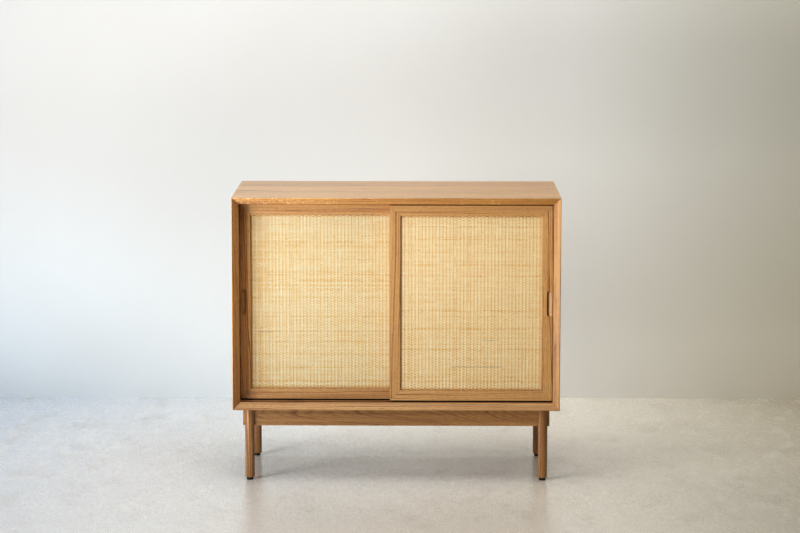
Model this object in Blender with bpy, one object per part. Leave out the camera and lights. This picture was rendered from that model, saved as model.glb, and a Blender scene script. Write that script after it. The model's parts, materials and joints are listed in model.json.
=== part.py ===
# Cane cabinet: a mitred oak case on a rail and leg base, closed by two sliding
# doors whose mitred frames hold panels of woven cane. Metres, +Z up. The front
# faces -Y and the floor is at zero height, under the middle of the cabinet.

import math

import bmesh
import bpy
from mathutils import Vector

# Case: four boards mitred at the corners, their front edges bevelled inwards.
CASE_WIDTH = 0.900
CASE_DEPTH = 0.450
CASE_HEIGHT = 0.588
CASE_BOARD = 0.019
CASE_FRONT_LAND = 0.002
CASE_ARRIS_ROUND = 0.0012
CASE_EDGE_ROUND = 0.0006

# Back panel, held in a groove on all four sides.
BACK_THICKNESS = 0.006
BACK_INSET = 0.010
BACK_GROOVE_DEPTH = 0.006

# Divider and shelves.
DIVIDER_THICKNESS = 0.018
DIVIDER_HOUSING = 0.005
DIVIDER_DOOR_GAP = 0.003
SHELF_THICKNESS = 0.018
SHELF_SIDE_PLAY = 0.001
SHELF_SETBACK = 0.004
SHELF_BACK_PLAY = 0.002
SHELF_HEIGHT = 0.270
SHELF_EDGE_ROUND = 0.0015
PIN_RADIUS = 0.0025
PIN_LENGTH = 0.014
PIN_INSET = 0.007
PIN_FROM_SHELF_EDGE = 0.050
PIN_TIP_ROUND = 0.0006

# Sliding doors. The right door runs in front of the left one.
DOOR_THICKNESS = 0.020
DOOR_SETBACK = 0.006
DOOR_SPACING = 0.005
DOOR_SIDE_GAP = 0.001
DOOR_OVERLAP = 0.035
DOOR_TOP_GAP = 0.004
DOOR_BOTTOM_GAP = 0.0045
FRAME_WIDTH = 0.029
FRAME_EDGE_ROUND = 0.0008
CANE_SETBACK = 0.003
CANE_THICKNESS = 0.0045
CANE_REBATE = 0.008
CANE_STAKE_SPACING = 0.0095
CANE_STRAND_THICKNESS = 0.0008
PULL_WIDTH = 0.0135
PULL_LENGTH = 0.071
PULL_DEPTH = 0.008
PULL_OUTER_DEPTH = 0.001
PULL_FROM_DOOR_EDGE = 0.0095

# Guide strips in the doors' edges, and the tracks and grooves that they run in.
STRIP_INSET = 0.008
STRIP_END_LAND = 0.006
TONGUE_THICKNESS = 0.006
TONGUE_ENGAGEMENT = 0.0045
TOP_GROOVE_PLAY = 0.0007
TOP_GROOVE_DEPTH = 0.009
RUNNER_THICKNESS = 0.005
RUNNER_PLAY = 0.0005
TRACK_DEPTH = 0.005
TRACK_WALL = 0.001
TRACK_END_STOP = 0.002

# Base: long rails half-lapped to round legs, cross rails between them, glides.
LEG_RADIUS = 0.013
LEG_LENGTH = 0.200
LEG_FROM_SIDE = 0.0435
LEG_FROM_FRONT = 0.060
LEG_FOOT_ROUND = 0.0035
RAIL_HEIGHT = 0.054
RAIL_THICKNESS = 0.020
RAIL_PAST_LEG = 0.0055
RAIL_EDGE_ROUND = 0.001
CROSS_RAIL_WIDTH = 0.040
CROSS_RAIL_HEIGHT = 0.030
CROSS_RAIL_FROM_SIDE = 0.095
TENON_LENGTH = 0.008
TENON_SHOULDER = 0.006
GLIDE_RADIUS = 0.009
GLIDE_HEIGHT = 0.006
GLIDE_EDGE_ROUND = 0.001
GLIDE_SPIGOT_RADIUS = 0.003
GLIDE_SPIGOT_LENGTH = 0.016
SCREW_SHANK_RADIUS = 0.00225
SCREW_HEAD_RADIUS = 0.0045
SCREW_HEAD_HEIGHT = 0.0035
SCREW_TIP_LENGTH = 0.004
SCREW_RECESS = 0.002
SCREW_BITE = 0.012
SCREW_SPREAD = 0.200
SCREW_SLOT_WIDTH = 0.001
SCREW_SLOT_LENGTH = 0.005
SCREW_SLOT_DEPTH = 0.0015

# Clearances: the gap kept between neighbours, and how far a cutter runs past.
FIT_GAP = 0.0003
OVERRUN = 0.004
WELD_DISTANCE = 0.00001

# Facet counts, and the angle past which an edge is sharp and not a facet of a round.
SHARP_ANGLE = math.radians(35)
LEG_SIDES = 40
SMALL_SIDES = 20
RIB_STEPS = 6
ARC_STEPS = 6

# Finishes: colour, roughness and metallic value.
FINISHES = {
    "oak": ((0.47, 0.27, 0.125), 0.45, 0.0),
    "pale oak": ((0.52, 0.33, 0.17), 0.50, 0.0),
    "birch ply": ((0.55, 0.40, 0.24), 0.60, 0.0),
    "cane": ((0.72, 0.56, 0.30), 0.65, 0.0),
    "black nylon": ((0.022, 0.022, 0.024), 0.40, 0.0),
    "steel": ((0.60, 0.59, 0.57), 0.30, 1.0),
}

RIGHT = Vector((1, 0, 0))
REAR = Vector((0, 1, 0))
UP = Vector((0, 0, 1))
FRONT = -REAR

# Levels and planes that several pieces share.
case_bottom = LEG_LENGTH + GLIDE_HEIGHT
case_top = case_bottom + CASE_HEIGHT
inside_floor = case_bottom + CASE_BOARD
inside_ceiling = case_top - CASE_BOARD
inside_width = CASE_WIDTH - 2 * CASE_BOARD
inside_height = inside_ceiling - inside_floor
middle_height = (inside_floor + inside_ceiling) / 2
case_front = -CASE_DEPTH / 2
case_rear = CASE_DEPTH / 2
back_front = case_rear - BACK_INSET - BACK_THICKNESS
front_door_face = case_front + CASE_BOARD + DOOR_SETBACK
rear_door_face = front_door_face + DOOR_THICKNESS + DOOR_SPACING
divider_front = rear_door_face + DOOR_THICKNESS + DIVIDER_DOOR_GAP
door_width = (inside_width - 2 * DOOR_SIDE_GAP + DOOR_OVERLAP) / 2
door_height = inside_height - DOOR_TOP_GAP - DOOR_BOTTOM_GAP
door_bottom = inside_floor + DOOR_BOTTOM_GAP
door_top = door_bottom + door_height
door_middle = (door_bottom + door_top) / 2
leg_x = CASE_WIDTH / 2 - LEG_FROM_SIDE
rail_bottom = case_bottom - RAIL_HEIGHT


def clear_scene():
    for thing in list(bpy.data.objects):
        bpy.data.objects.remove(thing)


def new_group(name):
    group = bpy.data.collections.new(name)
    bpy.context.scene.collection.children.link(group)
    return group


def finish_material(node, finish):
    colour, roughness, metallic = FINISHES[finish]
    material = bpy.data.materials.new(node + " " + finish)
    material.use_nodes = True
    shader = material.node_tree.nodes["Principled BSDF"]
    shader.inputs["Base Color"].default_value = (*colour, 1)
    shader.inputs["Roughness"].default_value = roughness
    shader.inputs["Metallic"].default_value = metallic
    material.diffuse_color = (*colour, 1)
    return material


def place(name, mesh, centre, finish, carrier=None):
    """Add a piece at a world position, carried by an empty if it slides."""
    mesh.name = name
    mesh.materials.append(finish_material(name, finish))
    piece = bpy.data.objects.new(name, mesh)
    pieces.objects.link(piece)
    piece.location = centre
    if carrier:
        piece.parent = carrier
        piece.location = Vector(centre) - carrier.location
    return piece


def place_cutter(name, mesh, centre, carrier=None):
    mesh.name = name
    cutter = bpy.data.objects.new(name, mesh)
    cutters.objects.link(cutter)
    cutter.hide_render = True
    cutter.display_type = "WIRE"
    cutter.location = centre
    if carrier:
        cutter.parent = carrier
        cutter.location = Vector(centre) - carrier.location
    return cutter


def cut(piece, *tools):
    for tool in tools:
        boolean = piece.modifiers.new("cut " + tool.name, "BOOLEAN")
        boolean.operation = "DIFFERENCE"
        boolean.solver = "EXACT"
        boolean.object = tool


def to_mesh(shape):
    bmesh.ops.recalc_face_normals(shape, faces=shape.faces)
    mesh = bpy.data.meshes.new("shape")
    shape.to_mesh(mesh)
    shape.free()
    return mesh


def smooth(mesh):
    mesh.shade_smooth()
    mesh.set_sharp_from_angle(angle=SHARP_ANGLE)
    return mesh


def block(size):
    """A plain rectangular solid about its own middle."""
    shape = bmesh.new()
    bmesh.ops.create_cube(shape, size=1)
    bmesh.ops.scale(shape, vec=size, verts=shape.verts)
    return shape


def block_between(low, high):
    """The mesh and the middle of a box given by two corners."""
    low = Vector(low)
    high = Vector(high)
    return to_mesh(block(high - low)), (low + high) / 2


def round_edges(shape, edges, radius, segments=2):
    bmesh.ops.bevel(shape, geom=edges, offset=radius, segments=segments, profile=0.5,
                    affect="EDGES", clamp_overlap=True)


def long_edges(shape, along):
    """The sharp edges that run along one direction."""
    edges = []
    for edge in shape.edges:
        direction = (edge.verts[1].co - edge.verts[0].co).normalized()
        if abs(direction.dot(along)) > 0.99 and edge.calc_face_angle() > SHARP_ANGLE:
            edges.append(edge)
    return edges


def slice_off(shape, planes):
    """Saw away what lies beyond each plane and close the sawn face."""
    for point, normal in planes:
        everything = shape.verts[:] + shape.edges[:] + shape.faces[:]
        sawn = bmesh.ops.bisect_plane(
            shape, geom=everything, plane_co=point, plane_no=normal, clear_outer=True)
        rim = [part for part in sawn["geom_cut"] if isinstance(part, bmesh.types.BMEdge)]
        bmesh.ops.edgeloop_fill(shape, edges=rim)


def mitre_planes(length, width, along, outward):
    """Two 45 degree end cuts, longest on the outward side, half a gap short."""
    planes = []
    for end in (-1, 1):
        corner = along * (end * length / 2) + outward * (width / 2)
        normal = (along * end - outward).normalized()
        planes.append((corner - normal * (FIT_GAP / 2), normal))
    return planes


def turned(profile, sides):
    """A solid turned about Z from (radius, height) points, listed downwards."""
    shape = bmesh.new()
    points = [shape.verts.new((radius, 0, height)) for radius, height in profile]
    for upper, lower in zip(points, points[1:]):
        shape.edges.new((upper, lower))
    bmesh.ops.spin(
        shape, geom=shape.verts[:] + shape.edges[:], cent=(0, 0, 0), axis=UP,
        angle=math.tau, steps=sides, use_merge=True)
    bmesh.ops.remove_doubles(shape, verts=shape.verts, dist=WELD_DISTANCE)
    return shape


def arc(centre_radius, centre_height, radius, start, end):
    """Points of a quarter round in a turned profile, angles in degrees."""
    points = []
    for step in range(ARC_STEPS + 1):
        angle = math.radians(start + (end - start) * step / ARC_STEPS)
        points.append((centre_radius + radius * math.cos(angle),
                       centre_height + radius * math.sin(angle)))
    return points


def case_board_mesh(length, along, outward):
    """A case board: mitred ends, and the front bevelled back towards the inside."""
    size = along * length + REAR * CASE_DEPTH + outward * CASE_BOARD
    shape = block(Vector([abs(part) for part in size]))
    arris = FRONT * (CASE_DEPTH / 2) + outward * (CASE_BOARD / 2)
    front_edges = [edge for edge in long_edges(shape, along)
                   if (edge.verts[0].co - arris).cross(along).length < FIT_GAP]
    round_edges(shape, front_edges, CASE_ARRIS_ROUND, segments=3)
    land = arris - outward * CASE_FRONT_LAND
    slice_off(shape, mitre_planes(length, CASE_BOARD, along, outward))
    slice_off(shape, [(land, (FRONT - outward).normalized())])
    round_edges(shape, long_edges(shape, along), CASE_EDGE_ROUND)
    return to_mesh(shape)


def build_case():
    top = place("top_panel", case_board_mesh(CASE_WIDTH, RIGHT, UP),
                (0, 0, case_top - CASE_BOARD / 2), "oak")
    bottom = place("bottom_panel", case_board_mesh(CASE_WIDTH, RIGHT, -UP),
                   (0, 0, case_bottom + CASE_BOARD / 2), "oak")
    sides = {}
    for side, hand in (("left", -1), ("right", 1)):
        centre = (hand * (CASE_WIDTH - CASE_BOARD) / 2, 0, (case_bottom + case_top) / 2)
        board = case_board_mesh(CASE_HEIGHT, UP, RIGHT * hand)
        sides[side] = place(side + "_side_panel", board, centre, "oak")

    build_back((top, bottom, sides["left"], sides["right"]))
    divider = build_divider(top, bottom)
    build_shelves(sides, divider)
    build_tracks(top, bottom)
    return bottom


def build_back(boards):
    reach_x = inside_width / 2 + BACK_GROOVE_DEPTH
    reach_z = inside_height / 2 + BACK_GROOVE_DEPTH
    low = Vector((-reach_x, back_front, middle_height - reach_z))
    high = Vector((reach_x, back_front + BACK_THICKNESS, middle_height + reach_z))
    slack = Vector((0, FIT_GAP, 0))
    groove = place_cutter("back_groove_cutter", *block_between(low - slack, high + slack))
    trim = Vector((FIT_GAP, 0, FIT_GAP))
    place("back_panel", *block_between(low + trim, high - trim), "birch ply")
    for board in boards:
        cut(board, groove)


def build_divider(top, bottom):
    half = DIVIDER_THICKNESS / 2
    low = Vector((-half, divider_front, inside_floor - DIVIDER_HOUSING))
    high = Vector((half, back_front, inside_ceiling + DIVIDER_HOUSING))
    slack = Vector((FIT_GAP, FIT_GAP, 0))
    housing = place_cutter("divider_housing_cutter",
                           *block_between(low - slack, high + slack))
    rear_trim = Vector((0, FIT_GAP, FIT_GAP))
    divider = place("centre_divider",
                    *block_between(low + UP * FIT_GAP, high - rear_trim), "pale oak")
    cut(top, housing)
    cut(bottom, housing)
    return divider


def pin_mesh(extra):
    """A shelf pin lying along X, or its hole when it is given extra room."""
    length = PIN_LENGTH + 2 * extra
    radius = PIN_RADIUS + extra
    shape = turned([(0, length / 2), (radius - PIN_TIP_ROUND, length / 2),
                    (radius, length / 2 - PIN_TIP_ROUND),
                    (radius, PIN_TIP_ROUND - length / 2),
                    (radius - PIN_TIP_ROUND, -length / 2), (0, -length / 2)], SMALL_SIDES)
    for vert in shape.verts:
        vert.co = Vector((vert.co.z, vert.co.x, vert.co.y))
    return smooth(to_mesh(shape))


def build_shelves(sides, divider):
    bay = (inside_width - DIVIDER_THICKNESS) / 2
    front = divider_front + SHELF_SETBACK
    rear = back_front - SHELF_BACK_PLAY
    underside = inside_floor + SHELF_HEIGHT
    size = Vector((bay - 2 * SHELF_SIDE_PLAY, rear - front, SHELF_THICKNESS))
    pin_height = underside - FIT_GAP - PIN_RADIUS
    for side, hand in (("left", -1), ("right", 1)):
        bay_middle = hand * (DIVIDER_THICKNESS + bay) / 2
        shelf = block(size)
        round_edges(shelf, long_edges(shelf, RIGHT), SHELF_EDGE_ROUND)
        centre = (bay_middle, (front + rear) / 2, underside + SHELF_THICKNESS / 2)
        place(side + "_shelf", to_mesh(shelf), centre, "pale oak")
        walls = (("outer", hand * inside_width / 2, hand, sides[side]),
                 ("inner", hand * DIVIDER_THICKNESS / 2, -hand, divider))
        for where, face_x, into_wall, wall in walls:
            pin_x = face_x + into_wall * (PIN_INSET - PIN_LENGTH / 2)
            for row, pin_y in (("front", front + PIN_FROM_SHELF_EDGE),
                               ("rear", rear - PIN_FROM_SHELF_EDGE)):
                name = "_".join((side, "shelf", where, row, "pin"))
                spot = (pin_x, pin_y, pin_height)
                place(name, pin_mesh(0), spot, "steel")
                cut(wall, place_cutter(name + "_hole", pin_mesh(FIT_GAP), spot))


def build_tracks(top, bottom):
    """A channel in the floor and a deeper groove above it for each door."""
    reach = inside_width / 2 - TRACK_END_STOP
    channel_half = RUNNER_THICKNESS / 2 + RUNNER_PLAY
    half = channel_half + TRACK_WALL
    for name, face in (("front", front_door_face), ("rear", rear_door_face)):
        middle = face + DOOR_THICKNESS / 2
        low = Vector((-reach, middle - half, inside_floor - TRACK_DEPTH))
        high = Vector((reach, middle + half, inside_floor))
        slack = Vector((FIT_GAP, FIT_GAP, 0))
        bed = place_cutter(name + "_track_bed_cutter", *block_between(
            low - slack - UP * FIT_GAP, high + slack + UP * OVERRUN))
        cut(bottom, bed)
        track = place(name + "_track", *block_between(low, high), "black nylon")
        channel = place_cutter(name + "_channel_cutter", *block_between(
            (-reach - OVERRUN, middle - channel_half, low.z + TRACK_WALL),
            (reach + OVERRUN, middle + channel_half, high.z + OVERRUN)))
        cut(track, channel)
        groove_half = TONGUE_THICKNESS / 2 + TOP_GROOVE_PLAY
        groove = place_cutter(name + "_top_groove_cutter", *block_between(
            (-reach, middle - groove_half, inside_ceiling - OVERRUN),
            (reach, middle + groove_half, inside_ceiling + TOP_GROOVE_DEPTH)))
        cut(top, groove)


def frame_member_mesh(length, width, depth, along, outward, radius):
    """A mitred member of a door frame, or of the beading behind the cane."""
    size = along * length + REAR * depth + outward * width
    shape = block(Vector([abs(part) for part in size]))
    round_edges(shape, long_edges(shape, along), radius)
    slice_off(shape, mitre_planes(length, width, along, outward))
    return to_mesh(shape)


def mitred_frame(prefix, suffixes, outer_size, centre, section, finish, carrier, outer_side):
    """Four mitred members round an opening, returned by their short names."""
    width, depth, radius = section
    outer_x, outer_z = outer_size
    members = {}
    layout = (("outer", outer_z, UP, RIGHT * outer_side), ("inner", outer_z, UP, -RIGHT * outer_side),
              ("top", outer_x, RIGHT, UP), ("bottom", outer_x, RIGHT, -UP))
    for short, length, along, outward in layout:
        reach = (outer_x if along == UP else outer_z) / 2 - width / 2
        mesh = frame_member_mesh(length, width, depth, along, outward, radius)
        name = "_".join((prefix, short, suffixes[short]))
        members[short] = place(name, mesh, Vector(centre) + outward * reach, finish, carrier)
    return members


def cane_panel_mesh(width, height):
    """Cane woven tight over upright stakes: a sheet with a rib at each stake."""
    valley = CANE_STRAND_THICKNESS / 2
    crest = CANE_THICKNESS / 2
    ribs = int(width / CANE_STAKE_SPACING)
    outline = [(-width / 2, valley)]
    for step in range(ribs * RIB_STEPS + 1):
        x = (step / RIB_STEPS - ribs / 2) * CANE_STAKE_SPACING
        swell = abs(math.sin(math.pi * step / RIB_STEPS))
        outline.append((x, valley + (crest - valley) * swell))
    outline.append((width / 2, valley))
    shape = bmesh.new()
    pairs = []
    for x, half in outline:
        pairs.append([shape.verts.new((x, side * half, -height / 2)) for side in (-1, 1)])
    for (front_left, rear_left), (front_right, rear_right) in zip(pairs, pairs[1:]):
        shape.faces.new((front_left, front_right, rear_right, rear_left))
    drawn = bmesh.ops.extrude_face_region(shape, geom=shape.faces[:])
    moved = [part for part in drawn["geom"] if isinstance(part, bmesh.types.BMVert)]
    bmesh.ops.translate(shape, verts=moved, vec=UP * height)
    return smooth(to_mesh(shape))


def pull_cutter_mesh(hand):
    """An upright slot with round ends, its floor falling away from the door's outer edge."""
    radius = PULL_WIDTH / 2
    straight = PULL_LENGTH / 2 - radius
    upper = arc(0, straight, radius, 180, 90) + arc(0, straight, radius, 90, 0)[1:]
    lower = arc(0, -straight, radius, 0, -90) + arc(0, -straight, radius, -90, -180)[1:]
    shape = bmesh.new()
    bottom = shape.faces.new([shape.verts.new((x, 0, z)) for x, z in upper + lower])
    drawn = bmesh.ops.extrude_face_region(shape, geom=[bottom])
    mouth = [part for part in drawn["geom"] if isinstance(part, bmesh.types.BMVert)]
    bmesh.ops.translate(shape, verts=mouth, vec=FRONT * OVERRUN)
    for vert in bottom.verts:
        outward_share = hand * vert.co.x / PULL_WIDTH + 1 / 2
        vert.co += REAR * (PULL_DEPTH + (PULL_OUTER_DEPTH - PULL_DEPTH) * outward_share)
    bmesh.ops.recalc_face_normals(shape, faces=shape.faces[:])
    return to_mesh(shape)


def build_strip(prefix, door_x, middle, rail, carrier, spec):
    """A strip let into a door's edge, running in the groove or track beyond it."""
    name, thickness, finish, edge, inward, tip = spec
    half = thickness / 2
    reach = door_width / 2 - STRIP_INSET - STRIP_END_LAND
    root = edge + inward * STRIP_INSET
    low = Vector((door_x - reach, middle - half, min(root, tip)))
    high = Vector((door_x + reach, middle + half, max(root, tip)))
    place(prefix + name, *block_between(low, high), finish, carrier)
    slot_root = root + inward * FIT_GAP
    slot_mouth = edge - inward * OVERRUN
    slot = block_between(
        (low.x - FIT_GAP, low.y - FIT_GAP, min(slot_root, slot_mouth)),
        (high.x + FIT_GAP, high.y + FIT_GAP, max(slot_root, slot_mouth)))
    cut(rail, place_cutter(prefix + name + "_slot_cutter", *slot, carrier))


def build_door(side, hand, face):
    """One door on its empty; hand is the side that its outer stile closes on."""
    prefix = side + "_door"
    door_x = hand * (inside_width / 2 - DOOR_SIDE_GAP - door_width / 2)
    middle = face + DOOR_THICKNESS / 2
    carrier = bpy.data.objects.new(prefix + "_slide", None)
    pieces.objects.link(carrier)
    carrier.location = (door_x, middle, inside_floor)

    suffixes = {"outer": "stile", "inner": "stile", "top": "rail", "bottom": "rail"}
    frame = mitred_frame(
        prefix, suffixes, (door_width, door_height), (door_x, middle, door_middle),
        (FRAME_WIDTH, DOOR_THICKNESS, FRAME_EDGE_ROUND), "oak", carrier, hand)

    sight = FRAME_WIDTH - CANE_REBATE
    reach = Vector((door_width / 2 - sight, 0, door_height / 2 - sight))
    lip = Vector((door_x, face + CANE_SETBACK, door_middle))
    rebate = place_cutter(prefix + "_rebate_cutter", *block_between(
        lip - reach, lip + reach + REAR * (DOOR_THICKNESS - CANE_SETBACK + OVERRUN)), carrier)
    for member in frame.values():
        cut(member, rebate)

    cane_rear = lip + REAR * (FIT_GAP + CANE_THICKNESS)
    cane_mesh = cane_panel_mesh(2 * (reach.x - FIT_GAP), 2 * (reach.z - FIT_GAP))
    place(prefix + "_cane_panel", cane_mesh, cane_rear - REAR * CANE_THICKNESS / 2, "cane", carrier)

    bead_front = cane_rear.y + FIT_GAP
    bead_rear = face + DOOR_THICKNESS
    bead_size = (2 * (reach.x - FIT_GAP), 2 * (reach.z - FIT_GAP))
    bead_names = dict.fromkeys(suffixes, "bead")
    mitred_frame(
        prefix, bead_names, bead_size, (door_x, (bead_front + bead_rear) / 2, door_middle),
        (CANE_REBATE - FIT_GAP, bead_rear - bead_front, FRAME_EDGE_ROUND), "oak", carrier, hand)

    pull_x = door_x + hand * (door_width / 2 - PULL_FROM_DOOR_EDGE)
    cut(frame["outer"], place_cutter(
        prefix + "_pull_cutter", pull_cutter_mesh(hand), (pull_x, face, middle_height), carrier))

    tongue_tip = inside_ceiling + TONGUE_ENGAGEMENT
    runner_tip = inside_floor - TRACK_DEPTH + TRACK_WALL + FIT_GAP
    build_strip(prefix, door_x, middle, frame["top"], carrier,
                ("_top_tongue", TONGUE_THICKNESS, "oak", door_top, -1, tongue_tip))
    build_strip(prefix, door_x, middle, frame["bottom"], carrier,
                ("_bottom_runner", RUNNER_THICKNESS, "black nylon", door_bottom, 1, runner_tip))


def leg_mesh():
    """A round leg standing on z = 0 with a rounded foot."""
    height = LEG_LENGTH - 2 * FIT_GAP
    foot = arc(LEG_RADIUS - LEG_FOOT_ROUND, LEG_FOOT_ROUND, LEG_FOOT_ROUND, 0, -90)
    return smooth(to_mesh(turned([(0, height), (LEG_RADIUS, height)] + foot + [(0, 0)], LEG_SIDES)))


def glide_mesh(extra):
    """A glide with its spigot; with extra room, the socket for the spigot."""
    spigot_top = GLIDE_HEIGHT + GLIDE_SPIGOT_LENGTH + extra
    spigot = [(0, spigot_top), (GLIDE_SPIGOT_RADIUS + extra, spigot_top)]
    if extra:
        below = GLIDE_HEIGHT - OVERRUN
        return to_mesh(turned(spigot + [(GLIDE_SPIGOT_RADIUS + extra, below), (0, below)], SMALL_SIDES))
    rim = GLIDE_RADIUS - GLIDE_EDGE_ROUND
    profile = spigot + [(GLIDE_SPIGOT_RADIUS, GLIDE_HEIGHT)]
    profile += arc(rim, GLIDE_HEIGHT - GLIDE_EDGE_ROUND, GLIDE_EDGE_ROUND, 90, 0)
    profile += arc(rim, GLIDE_EDGE_ROUND, GLIDE_EDGE_ROUND, 0, -90)
    return smooth(to_mesh(turned(profile + [(0, 0)], SMALL_SIDES)))


def screw_mesh(extra):
    """A countersunk screw, head down at z = 0; with extra room, its hole."""
    length = CROSS_RAIL_HEIGHT - SCREW_RECESS + SCREW_BITE
    shank = SCREW_SHANK_RADIUS + extra
    head = SCREW_HEAD_RADIUS + extra
    profile = [(0, length + extra), (shank, length - SCREW_TIP_LENGTH + extra),
               (shank, SCREW_HEAD_HEIGHT + extra), (head, extra)]
    profile += [(head, -SCREW_RECESS - OVERRUN), (0, -SCREW_RECESS - OVERRUN)] if extra else [(0, 0)]
    return smooth(to_mesh(turned(profile, SMALL_SIDES)))


def build_screw(name, spot, boards):
    screw = place(name, screw_mesh(0), spot, "steel")
    for board in boards:
        cut(board, place_cutter(name + "_hole_in_" + board.name, screw_mesh(FIT_GAP), spot))
    arm = Vector((SCREW_SLOT_LENGTH, SCREW_SLOT_WIDTH, 2 * SCREW_SLOT_DEPTH))
    for number, size in enumerate((arm, arm.yxz), start=1):
        cut(screw, place_cutter(name + "_slot_" + str(number), to_mesh(block(size)), spot))


def cross_rail_mesh(span):
    """A flat board between the long rails, with a stub tenon at each end."""
    shape = block(Vector((CROSS_RAIL_WIDTH, span, CROSS_RAIL_HEIGHT - FIT_GAP)))
    ends = [face for face in shape.faces if abs(face.normal.y) > 0.99]
    bmesh.ops.inset_individual(
        shape, faces=ends, thickness=TENON_SHOULDER, use_even_offset=True)
    for face in ends:
        outward = face.normal.copy()
        drawn = bmesh.ops.extrude_face_region(shape, geom=[face])
        moved = [part for part in drawn["geom"] if isinstance(part, bmesh.types.BMVert)]
        bmesh.ops.translate(shape, verts=moved, vec=outward * TENON_LENGTH)
        bmesh.ops.delete(shape, geom=[face], context="FACES_ONLY")
    return to_mesh(shape)


def build_base(bottom):
    length = 2 * (leg_x + LEG_RADIUS + RAIL_PAST_LEG)
    size = Vector((length, RAIL_THICKNESS, RAIL_HEIGHT - FIT_GAP))
    rail_z = rail_bottom + size.z / 2
    long_rails = []
    for row, facing in (("front", -1), ("rear", 1)):
        leg_y = facing * (CASE_DEPTH / 2 - LEG_FROM_FRONT)
        rail_y = leg_y - facing * RAIL_THICKNESS / 2
        shape = block(size)
        round_edges(shape, long_edges(shape, RIGHT), RAIL_EDGE_ROUND)
        long_rails.append(place(row + "_rail", to_mesh(shape), (0, rail_y, rail_z), "oak"))
        lap_reach = Vector((CASE_WIDTH, RAIL_THICKNESS, RAIL_HEIGHT)) / 2
        lap_slack = Vector((0, FIT_GAP, FIT_GAP))
        lap_middle = Vector((0, rail_y, rail_bottom + RAIL_HEIGHT / 2))
        lap = place_cutter(row + "_lap_cutter", *block_between(
            lap_middle - lap_reach - lap_slack, lap_middle + lap_reach + lap_slack))
        for side, hand in (("left", -1), ("right", 1)):
            name = "_".join((row, side, "leg"))
            spot = Vector((hand * leg_x, leg_y, GLIDE_HEIGHT + FIT_GAP))
            leg = place(name, leg_mesh(), spot, "oak")
            floor_spot = (spot.x, spot.y, 0)
            socket = place_cutter(name + "_socket_cutter", glide_mesh(FIT_GAP), floor_spot)
            cut(leg, lap, socket)
            place("_".join((row, side, "glide")), glide_mesh(0), floor_spot, "black nylon")
    build_cross_rails(bottom, long_rails)


def build_cross_rails(bottom, long_rails):
    span = CASE_DEPTH - 2 * (LEG_FROM_FRONT + RAIL_THICKNESS + FIT_GAP)
    cross_z = case_bottom - FIT_GAP - (CROSS_RAIL_HEIGHT - FIT_GAP) / 2
    tenon = Vector((CROSS_RAIL_WIDTH, 0, CROSS_RAIL_HEIGHT - FIT_GAP))
    tenon -= Vector((2, 0, 2)) * TENON_SHOULDER
    tenon.y = span + 2 * TENON_LENGTH
    room = Vector((FIT_GAP, FIT_GAP, FIT_GAP)) * 2
    for side, hand in (("left", -1), ("right", 1)):
        cross_x = hand * (CASE_WIDTH / 2 - CROSS_RAIL_FROM_SIDE)
        centre = (cross_x, 0, cross_z)
        cross = place(side + "_cross_rail", cross_rail_mesh(span), centre, "oak")
        mortise = place_cutter(side + "_mortise_cutter", to_mesh(block(tenon + room)), centre)
        for rail in long_rails:
            cut(rail, mortise)
        head_z = case_bottom - CROSS_RAIL_HEIGHT + SCREW_RECESS
        for row, facing in (("front", -1), ("rear", 1)):
            spot = (cross_x, facing * SCREW_SPREAD / 2, head_z)
            build_screw("_".join(("base_screw", row, side)), spot, (cross, bottom))


clear_scene()
pieces = new_group("cane_cabinet")
cutters = new_group("cutters")
bottom_panel = build_case()
build_door("left", -1, rear_door_face)
build_door("right", 1, front_door_face)
build_base(bottom_panel)
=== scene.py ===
import json
from math import floor, pi, radians, sin

import bpy
import numpy as np
from mathutils import Euler, Matrix, Vector

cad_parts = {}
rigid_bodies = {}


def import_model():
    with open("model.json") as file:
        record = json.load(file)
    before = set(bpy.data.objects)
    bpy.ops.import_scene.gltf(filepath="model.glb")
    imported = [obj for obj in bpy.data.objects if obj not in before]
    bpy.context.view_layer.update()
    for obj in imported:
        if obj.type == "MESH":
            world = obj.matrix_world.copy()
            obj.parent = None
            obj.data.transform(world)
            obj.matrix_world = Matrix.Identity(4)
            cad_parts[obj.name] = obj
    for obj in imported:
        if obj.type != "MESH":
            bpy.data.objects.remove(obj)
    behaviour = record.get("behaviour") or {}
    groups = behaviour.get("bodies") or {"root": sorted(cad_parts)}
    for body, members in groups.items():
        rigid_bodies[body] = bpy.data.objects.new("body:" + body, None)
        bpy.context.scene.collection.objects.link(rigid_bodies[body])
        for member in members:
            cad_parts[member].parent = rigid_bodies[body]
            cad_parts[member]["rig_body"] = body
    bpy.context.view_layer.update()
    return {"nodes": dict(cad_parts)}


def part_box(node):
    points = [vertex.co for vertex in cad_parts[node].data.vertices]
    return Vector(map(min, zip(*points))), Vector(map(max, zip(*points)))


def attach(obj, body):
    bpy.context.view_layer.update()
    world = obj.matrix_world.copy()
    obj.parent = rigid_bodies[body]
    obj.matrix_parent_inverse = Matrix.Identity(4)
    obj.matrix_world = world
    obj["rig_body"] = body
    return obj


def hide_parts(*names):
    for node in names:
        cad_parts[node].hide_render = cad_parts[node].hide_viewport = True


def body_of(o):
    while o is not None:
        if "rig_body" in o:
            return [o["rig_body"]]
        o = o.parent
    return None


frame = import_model()
scene = bpy.context.scene
nodes = frame["nodes"]
print("frame loaded:", len(nodes), "nodes")


# Small helpers for working on one object at a time

def pickOnly(piece):
    bpy.ops.object.select_all(action="DESELECT")
    piece.select_set(True)
    bpy.context.view_layer.objects.active = piece


def editAll(piece):
    pickOnly(piece)
    bpy.ops.object.mode_set(mode="EDIT")
    bpy.ops.mesh.select_mode(type="VERT")
    bpy.ops.mesh.select_all(action="SELECT")


def backToObject():
    bpy.ops.object.mode_set(mode="OBJECT")


def applyPlace(piece):
    pickOnly(piece)
    bpy.ops.object.transform_apply(location=True, rotation=True, scale=True)


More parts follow.
